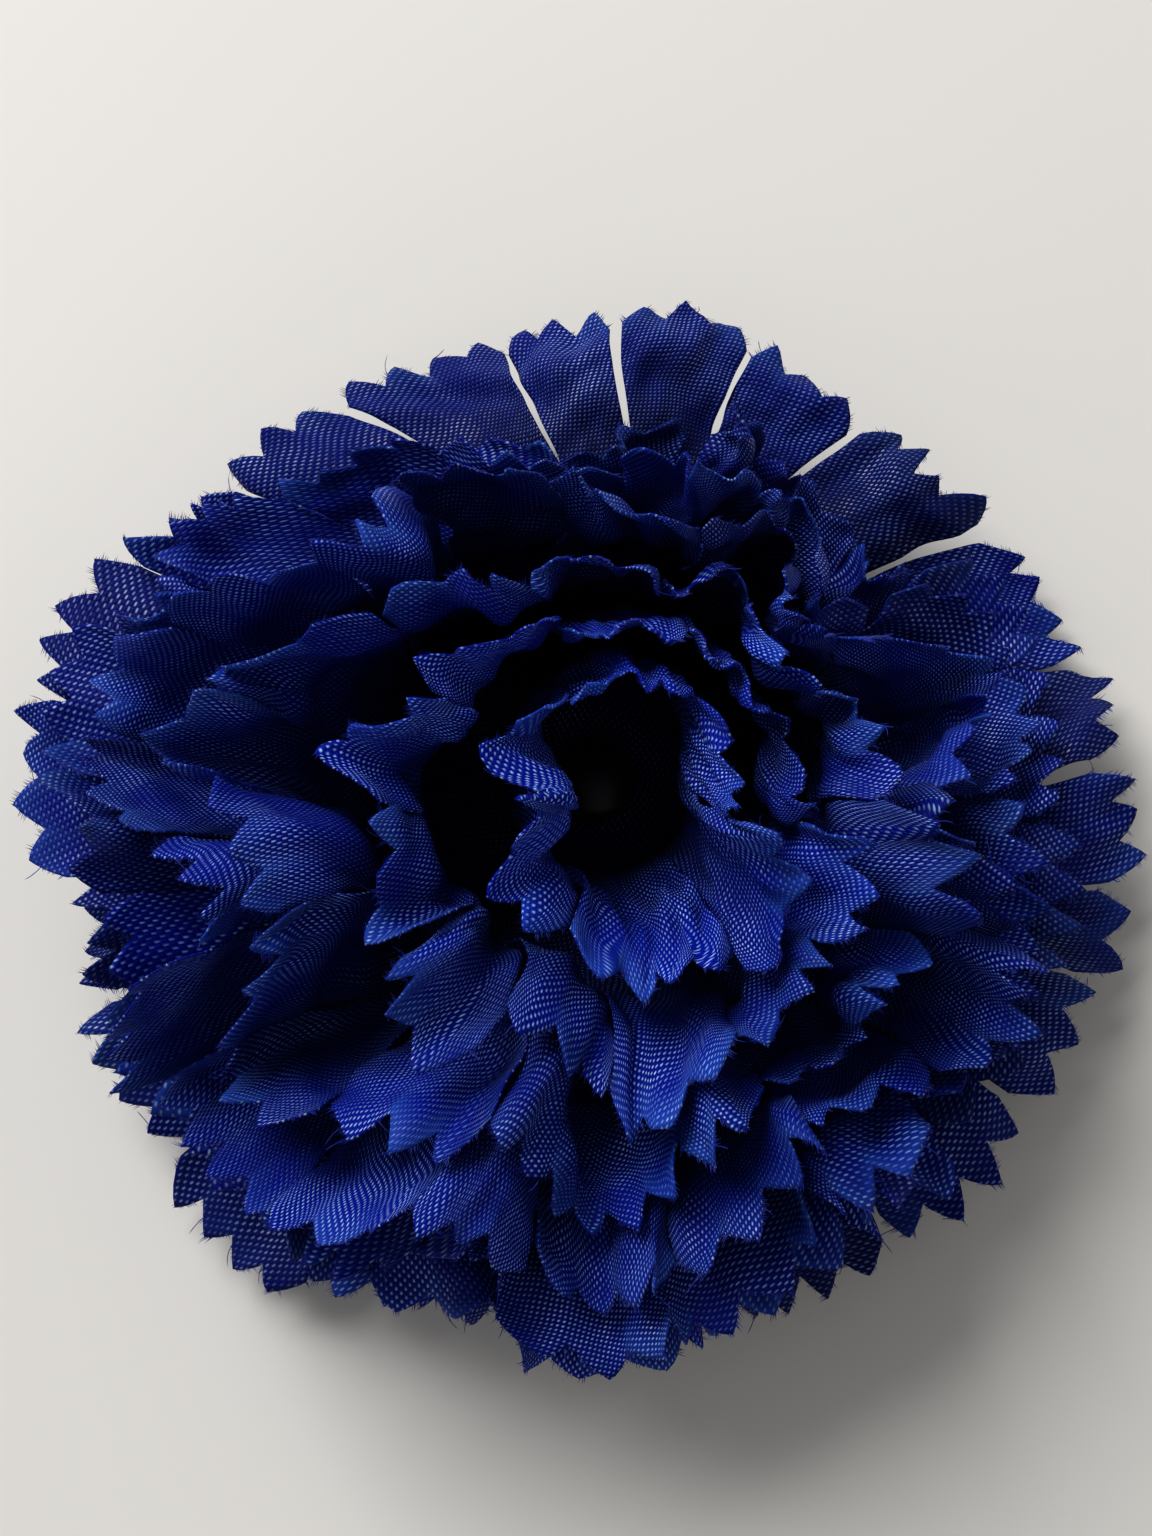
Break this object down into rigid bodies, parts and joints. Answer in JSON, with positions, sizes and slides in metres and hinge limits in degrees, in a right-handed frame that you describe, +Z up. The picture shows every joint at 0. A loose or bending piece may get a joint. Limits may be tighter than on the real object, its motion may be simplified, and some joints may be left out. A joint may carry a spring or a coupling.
{
  "type": "artificial carnation flower head",
  "caption": "Blue silk carnation flower head with ruffled, toothed cloth petals in layers on a plastic pin and calyx.",
  "frame": {"origin": "on the surface that the head stands on, under the middle of the head's bounding box", "axes": "+Z up out of the flower, +Y away from the viewer of the picture, +X to the viewer's right"},
  "size_m": [0.0988, 0.0954, 0.0428],
  "materials": {
    "cloth": "woven polyester, slight satin sheen",
    "calyx_plastic": "moulded, matte",
    "pin_plastic": "moulded, matte, near black: a guess that follows the dark hollow"
  },
  "bodies": {
    "root": {"petal_layer_1": "cloth", "petal_layer_2": "cloth", "petal_layer_3": "cloth", "petal_layer_4": "cloth", "petal_layer_5": "cloth", "petal_layer_6": "cloth", "petal_layer_7": "cloth", "calyx": "calyx_plastic", "center_pin": "pin_plastic"}
  },
  "joints": []
}
